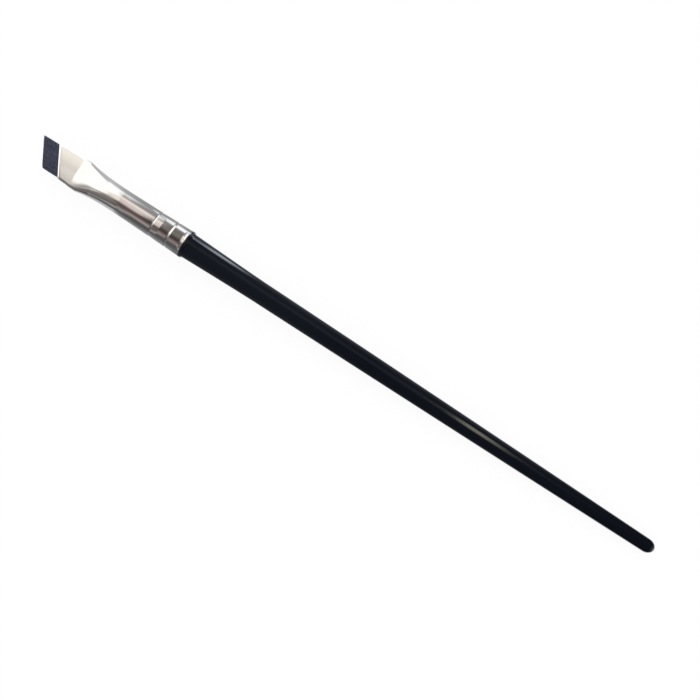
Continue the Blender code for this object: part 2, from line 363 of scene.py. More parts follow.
def share_of(value, low, high):
    """How far a value is on the way from low to high, held between 0 and 1."""
    return min(max((value - low) / (high - low), 0.0), 1.0)


def tube_radius(ahead):
    """Outer radius of the tube without its grooves: a flared lip, and then a slim cone."""
    if ahead < FLARE_LENGTH:
        return lip_radius - FLARE_DIP * (1.0 - (1.0 - ahead / FLARE_LENGTH) ** 2)
    cone = share_of(ahead, FLARE_LENGTH, WAIST_AHEAD)
    return share_between(lip_radius - FLARE_DIP, WAIST_RADIUS, cone)


def groove(ahead, rear, bend, front, shallow, deep):
    """Depth of a groove that gets deeper towards the front, bends and ends in a steep step."""
    step = share_of(ahead, front, front - CRIMP_STEP)
    gentle = share_of(ahead, rear, bend) * shallow
    return (gentle + share_of(ahead, bend, front - CRIMP_STEP) * (deep - shallow)) * step


def rolled_depth(ahead):
    """How far the tube's wall is rolled in, this far ahead of its rear edge."""
    curl = LIP_CURL * (1.0 - share_of(ahead, 0.0, LIP_CURL_LENGTH)) ** 2
    rear_bend = REAR_CRIMP_REAR + CRIMP_STEP
    rear = groove(ahead, REAR_CRIMP_REAR, rear_bend, REAR_CRIMP_FRONT, 0.0, REAR_CRIMP_DEPTH)
    front = groove(ahead, FRONT_CRIMP_REAR, FRONT_CRIMP_BEND, FRONT_CRIMP_FRONT,
                   FRONT_CRIMP_SHALLOW, FRONT_CRIMP_DEPTH)
    return curl + rear + front


def places(low, high, step):
    """Even places from low to high, about a step apart."""
    count = max(round(abs(high - low) / step), 1)
    return [share_between(low, high, i / count) for i in range(count + 1)]


print("tube %.2f mm across at its lip, %.2f mm at its waist"
      % (tube_radius(0.0) * 2 / MM, tube_radius(WAIST_AHEAD) * 2 / MM))

# %% [markdown]
# Now the stick. Its lacquer is one material, and the bare wood of the tenon another. Spin turns
# the chain of points into a skin. Small rounded and hollow corners at the shoulder catch a thin
# line of light, as lacquer does there, so they are written as shares of a rounding.

# %% Turn the stick


def spin_round(profile, closed=False):
    """Spin (x, radius) points round the axis into a skin."""
    bm = bmesh.new()
    chain = [bm.verts.new((x, 0.0, radius)) for x, radius in profile]
    links = list(zip(chain, chain[1:]))
    if closed:
        links.append((chain[-1], chain[0]))
    for pair in links:
        bm.edges.new(pair)
    bmesh.ops.spin(bm, geom=bm.verts[:] + bm.edges[:], cent=(0, 0, 0), axis=(1, 0, 0),
                   dvec=(0, 0, 0), angle=2 * math.pi, steps=ROUND_STEPS, use_merge=True)
    bmesh.ops.remove_doubles(bm, verts=bm.verts, dist=1e-7)
    bmesh.ops.recalc_face_normals(bm, faces=bm.faces)
    return bm


def stick_profile():
    """The stick from the tip of its tail to the front of its tenon."""
    dome_start = tail_end - DOME_LENGTH
    points = []
    for i in range(DOME_STEPS):
        angle = math.pi / 2 * (1.0 - i / DOME_STEPS)
        points.append((dome_start + DOME_LENGTH * math.sin(angle), TAIL_RADIUS * math.cos(angle)))
    body = places(dome_start, SWELL_LENGTH, BODY_STEP)
    swell = places(SWELL_LENGTH, SHOULDER_END + SHOULDER_FILLET, SWELL_STEP)
    points += [(x, stick_radius(x)) for x in body + swell[1:]]
    foot = stick_radius(SHOULDER_END)
    points += [(SHOULDER_END + SHOULDER_FILLET * out, foot + SHOULDER_FILLET * up)
               for out, up in HOLLOW_CORNER]
    top = lip_radius - SHOULDER_SET_IN
    points += [(SHOULDER_END - SHOULDER_ROUNDING * inward, top - SHOULDER_ROUNDING * down)
               for inward, down in ROUNDED_CORNER]
    points += [(SHOULDER_START + SHOULDER_ROUNDING * inward, top - SHOULDER_ROUNDING * down)
               for inward, down in reversed(ROUNDED_CORNER)]
    snug = WALL + FIT
    points.append((SHOULDER_START, tube_radius(0.0) - LIP_CURL - snug))
    tenon = places(0.0, GLUE_STARTS, TENON_STEP)
    points += [(-x, tube_radius(x) - rolled_depth(x) - snug) for x in tenon]
    relieved = tube_radius(TENON_LENGTH) - snug - GLUE_ROOM
    points += [
        (-GLUE_STARTS, relieved),
        (-(TENON_LENGTH - TENON_CHAMFER), relieved),
        (-TENON_LENGTH, relieved - TENON_CHAMFER),
        (-TENON_LENGTH, 0.0),
    ]
    return points


print(len(stick_profile()), "points along the stick")

# %% [markdown]
# Black lacquer is nearly colourless: what shows is the mirror of the room in a clear coat over a
# very dark, slightly blue base. A real coat isn't optically flat. It has a long, shallow orange
# peel, and dust that settled in it makes the gloss uneven, so both go in as bump and roughness.
# The faces inside the ferrule get the second finish, bare wood, by their place.

# %% Lacquer and bare wood
LACQUER_DARK = (0.0034, 0.0044, 0.0078)
LACQUER_LIGHT = (0.0050, 0.0064, 0.0108)
PEEL_DEPTH = 0.004 * MM
BIRCH_LIGHT = (0.60, 0.43, 0.26)
BIRCH_DARK = (0.42, 0.27, 0.14)
FIBRE_DEPTH = 0.03 * MM


def lacquer_finish():
    """Glossy black lacquer on wood."""
    finish = new_finish("black_lacquer")
    cloud = finish.noise((0.06, 0.5, 0.5), size=1.0, detail=3.0)
    peel = finish.noise((0.35, 1.0, 1.0), size=1.4, detail=1.0)
    dust = finish.noise((1.0, 1.0, 1.0), size=0.22, detail=1.0).between(0.70, 0.78)
    smear = finish.noise((0.12, 1.0, 1.0), size=2.2, detail=3.0).between(0.45, 0.75)
    shader = finish.node("BsdfPrincipled", None, {
        "Base Color": finish.colour(cloud, LACQUER_DARK, LACQUER_LIGHT),
        "Roughness": 0.10 + smear * 0.07 + dust * 0.12,
        "Normal": finish.bump(peel + dust * 0.15, PEEL_DEPTH),
        "IOR": 1.5,
        "Coat Weight": 0.35,
        "Coat Roughness": 0.05,
    })
    finish.surface(shader.outputs[0])
    return finish


def wood_finish():
    """Bare turned birch, inside the ferrule."""
    finish = new_finish("bare_wood")
    grain = finish.noise((0.06, 1.0, 1.0), size=0.5, detail=4.0, roughness=0.6)
    fibre = finish.noise((0.02, 1.0, 1.0), size=0.12, detail=2.0)
    shader = finish.node("BsdfPrincipled", None, {
        "Base Color": finish.colour(grain, BIRCH_LIGHT, BIRCH_DARK),
        "Roughness": 0.55 + fibre * 0.25,
        "Normal": finish.bump(fibre, FIBRE_DEPTH),
    })
    finish.surface(shader.outputs[0])
    return finish


def make_stick():
    """The handle: lacquered outside the ferrule and bare inside it."""
    bm = spin_round(stick_profile())
    for face in bm.faces:
        face.material_index = 1 if face.calc_center_median().x < -LACQUERED_AHEAD else 0
    finishes = [lacquer_finish(), wood_finish()]
    return add_piece("turned_stick", bm, finishes, "handle")


make_stick()

# %% [markdown]
# The real ferrule starts as a round tube, gets its crimps, and is pressed flat at the front
# between two slanted dies. The piece is made in the same order: its wall is spun round, and then
# a press moves each point. First come the sizes. Lengths that end in AHEAD are counted from the
# rear edge, and say where the tube is widest, where the blade is flat and where the slant is full.

# %% Sizes of the pressed end
TOE_TIGHTENS_AHEAD = 22.5 * MM  # where the corners start to form by the longest bristles
HEEL_TIGHTENS_AHEAD = 25.5 * MM  # and by the shortest
TIGHTENING_CURVE = 1.15
WIDEST_AHEAD = 29.0 * MM
BLADE_AHEAD = 30.9 * MM
SLANTED_AHEAD = 33.9 * MM
MOUTH_AHEAD = 35.9 * MM
BLADE_HALF_WIDTH = 3.97 * MM
MOUTH_HALF_WIDTH = 3.725 * MM
BLADE_HALF_THICKNESS = 1.20 * MM
BLADE_ROUNDING = 0.55 * MM
BLADE_CROWN = 0.08 * MM
OVAL_SHARE = 0.25               # of an oval in the sections behind the blade
CREASE = 0.45                   # how much of the thinning is left for the rear edge of the blade
WIDTH_CURVE = 3
SLANT = math.tan(math.radians(29.5))
print("blade %.2f mm wide and %.2f mm thick"
      % (BLADE_HALF_WIDTH * 2 / MM, BLADE_HALF_THICKNESS * 2 / MM))

# %% [markdown]
# A pressed section is a box with rounded corners, blended with an oval while it is still nearly
# round. A point's share of the way round the tube becomes the same share of the way round the
# section, so the metal is neither stretched nor bunched up. The corners tighten slowly, and they
# start earlier on the side of the longest bristles, because the dies are slanted. The flats keep
# a slight crown, and last the section leans over along the slant.

# %% Press the tube flat


def section(ahead, tightening):
    """Half width, half thickness, rounding and slant of the tube's outside, this far ahead."""
    if ahead <= WAIST_AHEAD:
        return tube_radius(ahead), tube_radius(ahead), tube_radius(ahead), 0.0
    widening = share_of(ahead, WAIST_AHEAD, WIDEST_AHEAD) ** WIDTH_CURVE
    narrowing = share_of(ahead, WIDEST_AHEAD, MOUTH_AHEAD)
    half_width = share_between(WAIST_RADIUS, BLADE_HALF_WIDTH, widening)
    half_width += (MOUTH_HALF_WIDTH - BLADE_HALF_WIDTH) * narrowing
    pressed = share_of(ahead, WAIST_AHEAD, BLADE_AHEAD)
    thinning = share_between(ease(pressed), pressed**2, CREASE)
    half_thickness = share_between(WAIST_RADIUS, BLADE_HALF_THICKNESS, thinning)
    rounding = share_between(half_thickness, BLADE_ROUNDING, tightening)
    slant = SLANT * share_of(ahead, BLADE_AHEAD, SLANTED_AHEAD)
    return half_width, half_thickness, rounding, slant


def round_flattened(half_width, half_thickness, rounding, share):
    """A point at a share of the way round a box section with rounded corners."""
    quarter, along = divmod(share * 4.0, 1.0)
    if quarter % 2:
        along = 1.0 - along
    side = half_thickness - rounding
    top = half_width - rounding
    arc = math.pi / 2 * rounding
    travelled = along * (side + arc + top)
    if travelled < side:
        y, z = half_width, travelled
    elif travelled < side + arc:
        angle = (travelled - side) / rounding
        y = top + rounding * math.cos(angle)
        z = side + rounding * math.sin(angle)
    else:
        y, z = side + arc + top - travelled, half_thickness
    return (-y if quarter in (1, 2) else y), (-z if quarter in (2, 3) else z)


def press(vert):
    """Move one point of the spun tube to where the dies leave it."""
    ahead = -vert.co.x
    tightens_ahead = TOE_TIGHTENS_AHEAD if vert.co.y > 0 else HEEL_TIGHTENS_AHEAD
    tightening = share_of(ahead, tightens_ahead, BLADE_AHEAD) ** TIGHTENING_CURVE
    half_width, half_thickness, rounding, slant = section(ahead, tightening)
    inset = tube_radius(ahead) - math.hypot(vert.co.y, vert.co.z)
    turned = math.atan2(vert.co.z, vert.co.y)
    share = (turned / (2 * math.pi)) % 1.0
    y, z = round_flattened(half_width - inset, half_thickness - inset, rounding - inset, share)
    oval = OVAL_SHARE * (1.0 - tightening)
    y = share_between(y, (half_width - inset) * math.cos(turned), oval)
    z = share_between(z, (half_thickness - inset) * math.sin(turned), oval)
    flat_half = half_width - rounding
    if abs(y) < flat_half:
        crown = BLADE_CROWN * share_of(ahead, HEEL_TIGHTENS_AHEAD, BLADE_AHEAD)
        z += math.copysign(crown * (1.0 - (y / flat_half) ** 2), z)
    vert.co = (-(ahead + slant * y), y, z)


# %% [markdown]
# The wall is one closed chain of points: along the outside to the mouth, over its rounded edge,
# and back inside. The last half millimetre of the mouth is drawn in a little, and that narrow
# bevel is what shows as a bright line along it. Points are close together where the wall bends.

# %% The wall of the tube
MOUTH_ROUNDING = 0.10 * MM
MOUTH_DROOP = 0.11 * MM         # how far the mouth's edge is drawn in
MOUTH_DROOP_LENGTH = 0.43 * MM
MOUTH_DROOP_CURVE = 1.1
ROLLED_AHEAD = FRONT_CRIMP_FRONT + 0.28 * MM    # where the fine steps of the crimps end
ROLLED_STEP = 0.045 * MM
PLAIN_STEP = 1.0 * MM
PRESSED_STEP = 0.3 * MM
BLADE_STEP = 0.6 * MM
DROOP_STEP = 0.05 * MM
EDGE_STEPS = 6


def wall_depth(ahead):
    """How far the wall is rolled in by lip and crimps, or drawn in at the mouth."""
    drooping = share_of(ahead, MOUTH_AHEAD - MOUTH_DROOP_LENGTH, MOUTH_AHEAD)
    return rolled_depth(ahead) + MOUTH_DROOP * drooping**MOUTH_DROOP_CURVE


def ferrule_profile():
    """The wall of the round tube: outside from lip to mouth, and inside back to the lip."""
    droop_start = MOUTH_AHEAD - MOUTH_DROOP_LENGTH
    stations = places(0.0, ROLLED_AHEAD, ROLLED_STEP)
    stations += places(ROLLED_AHEAD, WAIST_AHEAD, PLAIN_STEP)[1:]
    stations += places(WAIST_AHEAD, BLADE_AHEAD, PRESSED_STEP)[1:]
    stations += places(BLADE_AHEAD, droop_start, BLADE_STEP)[1:]
    stations += places(droop_start, MOUTH_AHEAD - MOUTH_ROUNDING, DROOP_STEP)[1:]
    outside = [(-x, tube_radius(x) - wall_depth(x)) for x in stations]
    inside = [(-x, tube_radius(x) - wall_depth(x) - WALL) for x in reversed(stations[::2])]
    edge = []
    for i in range(1, EDGE_STEPS):
        angle = math.pi * i / EDGE_STEPS
        reach = MOUTH_AHEAD - MOUTH_ROUNDING + MOUTH_ROUNDING * math.sin(angle)
        middle = tube_radius(reach) - wall_depth(reach) - WALL / 2
        edge.append((-reach, middle + WALL / 2 * math.cos(angle)))
    return outside + edge + inside


print(len(ferrule_profile()), "points along the wall")

# %% [markdown]
# Nickel plate over a polished tube mirrors the room, so its finish is mostly in what breaks the
# mirror: the fine rings that polishing leaves round the tube, a slow waviness from drawing and
# pressing, and dull smears where it has been held.

# %% Nickel plate
NICKEL = (0.72, 0.70, 0.675)
NICKEL_DULL = (0.60, 0.575, 0.55)
MARK_DEPTH = 0.006 * MM


def nickel_finish():
    """Bright nickel plate with polishing marks."""
    finish = new_finish("plated_metal")
    rings = finish.noise((1.0, 0.03, 0.03), size=0.05, detail=2.0)
    waves = finish.noise((0.18, 0.5, 0.5), size=1.2, detail=1.0)
    smear = finish.noise((0.6, 1.0, 1.0), size=2.4, detail=4.0, roughness=0.6).between(0.50, 0.72)
    pits = finish.noise((1.0, 1.0, 1.0), size=0.09, detail=1.0).between(0.74, 0.80)
    height = rings * 0.10 + waves + pits * -0.12
    shader = finish.node("BsdfPrincipled", None, {
        "Base Color": finish.colour(smear * 0.5 + pits * 0.4, NICKEL, NICKEL_DULL),
        "Metallic": 1.0,
        "Roughness": 0.035 + rings * 0.025 + smear * 0.04,
        "Normal": finish.bump(height, MARK_DEPTH),
    })
    finish.surface(shader.outputs[0])
    return finish


def make_ferrule():
    """The plated tube."""
    bm = spin_round(ferrule_profile(), closed=True)
    for vert in bm.verts:
        press(vert)
    bmesh.ops.recalc_face_normals(bm, faces=bm.faces)
    return add_piece("plated_ferrule", bm, [nickel_finish()], "ferrule")


make_ferrule()

# %% [markdown]
# A tuft like this holds well over a thousand filaments, each a tenth of a millimetre thick, set
# in resin and cut to one slanting line. Hair particles would be quick but leave no solid mesh, so
# each filament is a small tapered tube. They stand in a close-packed grid inside the mouth, lean
# together towards the tips, and each one has its own slight bend, length and shade. The shade is
# kept in an attribute of the mesh, which the material reads.

# %% Places and sizes of the filaments
FREE_LENGTH = 4.60 * MM
RECESS = 0.6 * MM
ROOT_HALF_WIDTH = 3.40 * MM
ROOT_HALF_THICKNESS = 0.85 * MM
ROOT_SUNK = 0.05 * MM           # how far the roots go into the resin
ROUND_END_SHARE = 0.8           # how closely the rows' ends follow a round end
TIP_ASIDE = 0.12 * MM           # how far the tips lean away from the longest bristles
TIP_THINNING = 0.60
TIP_STRAY = 0.02 * MM
FILAMENT_RADIUS = 0.046 * MM
FILAMENT_SPACING = 0.098 * MM
FILAMENT_SIDES = 6
FILAMENT_RINGS = (0.0, 0.35, 0.7, 0.93, 1.0)
FILAMENT_TAPER = (1.0, 0.96, 0.86, 0.68, 0.34)
UNEVEN_CUT = 0.07 * MM
BEND = 0.035 * MM
BEND_UP_SHARE = 0.6


def root_places():
    """Close-packed places for the roots inside the rounded mouth."""
    row_height = FILAMENT_SPACING * math.sqrt(3) / 2
    rows = int(ROOT_HALF_THICKNESS / row_height)
    found = []
    for row in range(-rows, rows + 1):
        z = row * row_height
        round_end = ROOT_HALF_THICKNESS - math.sqrt(ROOT_HALF_THICKNESS**2 - z**2)
        reach = ROOT_HALF_WIDTH - round_end * ROUND_END_SHARE
        offset = FILAMENT_SPACING / 2 * (row % 2)
        columns = int((reach + offset) / FILAMENT_SPACING)
        for column in range(-columns, columns + 1):
            y = column * FILAMENT_SPACING + offset
            if abs(y) <= reach:
                found.append((y, z))
    return found


print("room for", len(root_places()), "roots")

# %% [markdown]
# Each filament is a stack of rings from its root to the cut, closed at both ends. The draws of
# chance come in the same order for every filament, from one seeded source, so that the tuft is
# the same in each run.

# %% Add one filament


def add_filament(bm, shade_layer, root_y, root_z, chance):
    """One tapered tube from its root to the slanting cut."""
    tip_y = root_y - TIP_ASIDE + chance.uniform(-1, 1) * TIP_STRAY
    tip_z = root_z * TIP_THINNING + chance.uniform(-1, 1) * TIP_STRAY
    bend_y = chance.uniform(-1, 1) * BEND
    bend_z = chance.uniform(-1, 1) * BEND * BEND_UP_SHARE
    reach = MOUTH_AHEAD + FREE_LENGTH - chance.random() ** 2 * UNEVEN_CUT
    shade = chance.random()
    foot = MOUTH_AHEAD - RECESS - ROOT_SUNK
    circle = bmesh.ops.create_circle(bm, segments=FILAMENT_SIDES, radius=1.0, cap_ends=False)
    corners = [(math.cos(a), math.sin(a)) for a in
               (2 * math.pi * i / FILAMENT_SIDES for i in range(FILAMENT_SIDES))]
    rings = [circle["verts"]]
    for _ in FILAMENT_RINGS[1:]:
        rings.append([bm.verts.new() for _ in corners])
    for share, taper, row in zip(FILAMENT_RINGS, FILAMENT_TAPER, rings):
        lift = math.sin(math.pi * share)
        y = share_between(root_y, tip_y, share) + bend_y * lift
        z = share_between(root_z, tip_z, share) + bend_z * lift
        x = share_between(foot, reach, share) + SLANT * y
        for vert, (side, up) in zip(row, corners):
            radius = FILAMENT_RADIUS * taper
            vert.co = (-x, y + side * radius, z + up * radius)
            vert[shade_layer] = shade
    for near, far in zip(rings, rings[1:]):
        for i in range(FILAMENT_SIDES):
            j = (i + 1) % FILAMENT_SIDES
            bm.faces.new((near[i], near[j], far[j], far[i]))
    bm.faces.new(rings[-1])
    bm.faces.new(rings[0])


# %% [markdown]
# The filaments are a dark slate plastic with a purple cast. Seen along the fibre they catch the
# light as a soft streak, so they are smooth but not mirror-like, and neighbours differ a little
# in shade, as dyed fibres do.

# %% Filament and resin finishes
FILAMENT_DARK = (0.017, 0.018, 0.039)
FILAMENT_LIGHT = (0.055, 0.058, 0.110)
RESIN_DARK = (0.48, 0.34, 0.16)
RESIN_LIGHT = (0.70, 0.56, 0.34)
RIPPLE_DEPTH = 0.03 * MM


def filament_finish():
    """Dark slate synthetic filament."""
    finish = new_finish("dark_filament")
    shade = finish.value("Attribute", {"attribute_name": "shade"}, None, output=2)
    streak = finish.noise((0.15, 1.0, 1.0), size=0.9, detail=2.0)
    shader = finish.node("BsdfPrincipled", None, {
        "Base Color": finish.colour(shade * 0.7 + streak * 0.3, FILAMENT_DARK, FILAMENT_LIGHT),
        "Roughness": 0.34 + shade * 0.12,
        "Specular IOR Level": 0.5,
    })
    finish.surface(shader.outputs[0])
    return finish


def resin_finish(name):
    """Cured amber resin, cloudy inside and glossy on its face."""
    finish = new_finish(name)
    cloud = finish.noise((1.0, 1.0, 1.0), size=0.8, detail=4.0)
    ripple = finish.noise((1.0, 1.0, 1.0), size=0.4, detail=2.0)
    shader = finish.node("BsdfPrincipled", None, {
        "Base Color": finish.colour(cloud, RESIN_DARK, RESIN_LIGHT),
        "Roughness": 0.18 + cloud * 0.2,
        "Normal": finish.bump(ripple, RIPPLE_DEPTH),
    })
    finish.surface(shader.outputs[0])
    return finish


# %% [markdown]
# The tuft is one piece, though its filaments stay separate. Past the roots, just inside the
# mouth, lies the face of the resin: a short plug with the same flattened section as the mouth.

# %% Make the tuft and the resin's face
SEED = 11
FACE_BACK = 1.1 * MM
FACE_OVERLAP = 0.02 * MM
FACE_ROUNDING = 0.3 * MM
FACE_STEPS = 64


def make_tuft():
    """All filaments, as one piece."""
    bm = bmesh.new()
    shade_layer = bm.verts.layers.float.new("shade")
    chance = random.Random(SEED)
    roots = root_places()
    for root_y, root_z in roots:
        add_filament(bm, shade_layer, root_y, root_z, chance)
    bmesh.ops.recalc_face_normals(bm, faces=bm.faces)
    print(len(roots), "filaments")
    return add_piece("filament_tuft", bm, [filament_finish()], "bristle_tuft")


def make_resin_face():
    """The face of resin that the filaments rise from, just inside the mouth."""
    front = MOUTH_AHEAD - RECESS
    back = front - FACE_BACK
    half_width = ROOT_HALF_WIDTH + FACE_OVERLAP
    bm = bmesh.new()
    bmesh.ops.create_cone(bm, cap_ends=True, segments=FACE_STEPS, radius1=1.0, radius2=1.0,
                          depth=1.0)
    for vert in bm.verts:
        share = (math.atan2(vert.co.y, vert.co.x) / (2 * math.pi)) % 1.0
        y, z = round_flattened(half_width, ROOT_HALF_THICKNESS, FACE_ROUNDING, share)
        ahead = front if vert.co.z > 0 else back
        vert.co = (-(ahead + SLANT * y), y, z)
    bmesh.ops.recalc_face_normals(bm, faces=bm.faces)
    return add_piece("resin_face", bm, [resin_finish("face_resin")], "bristle_tuft")


make_tuft()
make_resin_face()

# %% [markdown]
# Two CAD nodes stay as they are, inside the ferrule: the block of resin behind the roots and the
# cup of glue round the tenon. They only need their real finishes.

# %% Finish the inner pieces
GLUE_LIGHT = (0.74, 0.69, 0.54)
GLUE_DARK = (0.60, 0.52, 0.36)
LUMP_DEPTH = 0.05 * MM


def glue_finish():
    """Dried wood glue, matt and a little lumpy."""
    finish = new_finish("wood_glue")
    lumps = finish.noise((1.0, 1.0, 1.0), size=0.7, detail=3.0)
    shader = finish.node("BsdfPrincipled", None, {
        "Base Color": finish.colour(lumps, GLUE_LIGHT, GLUE_DARK),
        "Roughness": 0.45 + lumps * 0.2,
        "Normal": finish.bump(lumps, LUMP_DEPTH),
    })
    finish.surface(shader.outputs[0])
    return finish


def dress_node(name, finish):
    """Give a CAD node its finish."""
    mesh = frame["nodes"][name].data
    mesh.materials.clear()
    mesh.materials.append(finish.owner)
    print(name, "keeps its mesh and gets", finish.owner.name)


dress_node("resin_plug", resin_finish("clear_resin"))
dress_node("handle_glue", glue_finish())

# %% [markdown]
# The table is pale and plain. A soft sun from the upper side keeps a faint shadow under the
# brush, and the world lights the rest evenly, so that a colour shows about as it is written. The
# camera and the mirrors see most of the table, and all of the room, as plain white. Light Path
# does that, and it puts no more light on the brush.

# %% Table and plain light
TABLE_SIZE = 3.0
TABLE_COLOUR = (0.94, 0.94, 0.94)
TABLE_WHITE_SHARE = 0.92        # of plain white in what the camera and the mirrors see
WORLD_LEVEL = 0.92
SUN_LEVEL = 0.75
SUN_ANGLE = math.radians(35)
SUN_FROM = Vector((-0.35, 0.65, 1.0))


def is_shown(finish):
    """1 for rays from the camera, mirrors and glass, and 0 for rays of plain light."""
    rays = finish.node("LightPath").outputs
    names = ("Is Camera Ray", "Is Glossy Ray", "Is Transmission Ray")
    first, second, third = (Value(finish, rays[name]) for name in names)
    return first.math("MAXIMUM", second).math("MAXIMUM", third)


def make_table():
    """A pale matt table top, most of it plain white to the eye, with a soft shadow."""
    bm = bmesh.new()
    bmesh.ops.create_grid(bm, x_segments=2, y_segments=2, size=TABLE_SIZE / 2)
    mesh = bpy.data.meshes.new("table")
    bm.to_mesh(mesh)
    bm.free()
    table = bpy.data.objects.new("table", mesh)
    bpy.context.scene.collection.objects.link(table)
    finish = new_finish("pale_table")
    matt = finish.node("BsdfDiffuse", None, {"Color": (*TABLE_COLOUR, 1.0)})
    white = finish.node("Emission", None, {"Strength": 1.0})
    share = is_shown(finish) * TABLE_WHITE_SHARE
    sockets = {0: share, 1: matt.outputs[0], 2: white.outputs[0]}
    finish.surface(finish.node("MixShader", None, sockets).outputs[0])
    mesh.materials.append(finish.owner)


def make_world():
    """Even white light, seen as plain white past the table's edge and in the metal."""
    world = bpy.data.worlds.new("studio")
    bpy.context.scene.world = world
    finish = Finish(world)
    level = is_shown(finish) * (1.0 - WORLD_LEVEL) + WORLD_LEVEL
    light = finish.node("Background", None, {"Color": (1.0, 1.0, 1.0, 1.0), "Strength": level})
    finish.surface(light.outputs[0])


def make_sun():
    """A soft light from above and the upper side."""
    sun = bpy.data.lights.new("soft_sun", "SUN")
    sun.energy = SUN_LEVEL
    sun.angle = SUN_ANGLE
    sun_object = bpy.data.objects.new("soft_sun", sun)
    sun_object.rotation_euler = SUN_FROM.to_track_quat("Z", "Y").to_euler()
    sun_object.visible_glossy = False
    bpy.context.scene.collection.objects.link(sun_object)


make_table()
make_world()
make_sun()
print("world at %.2f, sun at %.2f" % (WORLD_LEVEL, SUN_LEVEL))

# %% [markdown]
# Polished metal looks like metal because of what it mirrors. A photographer puts cards and soft
# boxes round it. Here one tunnel holds them all: a half tube over the brush, and two low cards
# that lie on the table beside it. Only mirrors see them. Their brightness is written as a
# function of the place. Round the brush, colour ramps give it by the angle from overhead, which
# is positive towards the longest bristles. Along the brush there is one ramp for each stretch:
# dim over the handle, brighter cards over the ferrule, and a bright window past the tuft.

# %% Ramps round the brush
TUNNEL_RADIUS = 350.0 * MM
TUNNEL_START = -900.0 * MM
TUNNEL_END = 2600.0 * MM
TUNNEL_STEPS = 48
CARD_LEVEL = 2.0                # brightness that the ramps' full white stands for
CARD_EDGE = 4.4 * MM            # how near the low cards come to the brush's middle
CARD_LIFT = 0.02 * MM
AXIS_HEIGHT = 3.3               # of the brush over the table, in millimetres

ROUND_HANDLE = (
    (-170, 0.12), (-128, 0.12), (-106, 0.06), (-80, 0.02), (-20, 0.02), (-8, 0.02), (10, 0.04),
    (22, 0.17), (32, 0.16), (48, 0.04), (80, 0.05), (96, 0.18), (120, 0.28), (170, 0.28),
)
ROUND_REAR = (
    (-160, 0.55), (-113, 0.38), (-90, 0.14), (-67, 0.11), (-56, 0.22), (-48, 0.34), (-33, 0.25),
    (-20, 0.07), (-2, 0.10), (10, 0.20), (20, 0.24), (40, 0.20), (56, 0.24), (68, 0.40),
    (90, 0.60), (118, 0.46), (165, 0.42),
)
ROUND_TUBE = (
    (-155, 0.66), (-114, 0.40), (-96, 0.17), (-80, 0.11), (-68, 0.13), (-58, 0.30), (-48, 0.50),
    (-38, 0.26), (-28, 0.13), (-20, 0.14), (-11, 0.34), (-4, 0.74), (6, 0.86), (20, 0.90),
    (34, 1.20), (42, 0.90), (50, 0.42), (62, 0.36), (74, 0.36), (107, 0.42), (125, 0.44),
    (160, 0.55),
)
ROUND_BLADE = (
    (-160, 0.70), (-118, 0.62), (-98, 0.54), (-88, 0.22), (-75, 0.22), (-60, 0.17), (-45, 0.24),
    (-28, 0.28), (-16, 0.36), (-9, 0.66), (-5, 0.88), (-1.5, 1.00), (-0.3, 0.92), (1.2, 0.98),
    (3.5, 1.12), (7, 1.28), (16, 0.95), (24, 1.15), (44, 1.10), (58, 0.80), (75, 0.88),
    (90, 0.86), (104, 0.66), (165, 0.60),
)
ROUND_HEAD = (
    (-160, 0.80), (-120, 0.70), (-104, 0.50), (-90, 0.22), (-74, 0.16), (-60, 0.17),
    (-46, 0.26), (-36, 0.30), (-28, 0.45), (-22, 0.80), (-15, 0.80), (-11, 0.42), (-9, 0.45),
    (-7, 1.15), (-5.5, 1.45), (-1, 1.50), (80, 1.50), (88, 1.0), (96, 0.70), (165, 0.62),
)


def round_ramp(finish, angle, stops):
    """Brightness by the angle round the brush, from places in degrees and levels."""
    ramp = [((degrees + 180.0) / 360.0, (level / CARD_LEVEL,) * 3) for degrees, level in stops]
    share = angle / 360.0 + 0.5
    colour = finish.node("ValToRGB", {"stops": ramp}, {"Fac": share}).outputs[0]
    return Value(finish, finish.node("SeparateColor", None, {0: colour}).outputs[0]) * CARD_LEVEL


def mix_values(share, low, high):
    """A value at a share of the way from low to high."""
    return low + (high - low) * share


print("cards as bright as %.2f" % max(level for _, level in ROUND_HEAD))

# %% [markdown]
# The stretches have edges that a mirror shows, so they are placed with care. A low card is nearer
# to the brush than one overhead, so a place along the tunnel is first turned into `mirrored`: the
# place overhead, in millimetres, that a straight mirror shows at the same spot. The card over the
# round tube starts at a slanting edge. The blade's card comes in slowly on the side of the short
# bristles, and the window past the tuft reaches further back at both low sides.

# %% Where each card starts


def card_shares(angle, mirrored):
    """How much there is of the rear, tube, blade and head cards at a place."""
    rear = mirrored.between(-120.0, -132.0)
    from_slope = (45.0 - angle) * 0.24 * angle.between(-42.0, -14.0)
    tube = (mirrored + from_slope).between(-145.0, -156.0)
    set_back = angle.between(45.0, 60.0) * 11.0
    full_blade = -195.0 - angle.between(-6.0, -13.0) * 55.0
    blade = (mirrored - set_back).between(-182.0, full_blade)
    toward_side = angle.between(2.0, 34.0) * 90.0 + angle.between(34.0, 90.0) * 26.0
    away = angle.between(-66.0, -96.0) * 105.0 - angle.between(0.0, -10.0) * 22.0
    head = (mirrored - toward_side - away).between(-270.0, -312.0)
    return rear, tube, blade, head


# %% [markdown]
# Over the handle the cards are dim and fade towards the tail, and a wall far behind glows a
# little, which the tail's dome mirrors. Over the tube, the low part of its ramp slides round as
# it nears the blade, which bends the dark band there towards the side.

# %% Brightness of the large cards


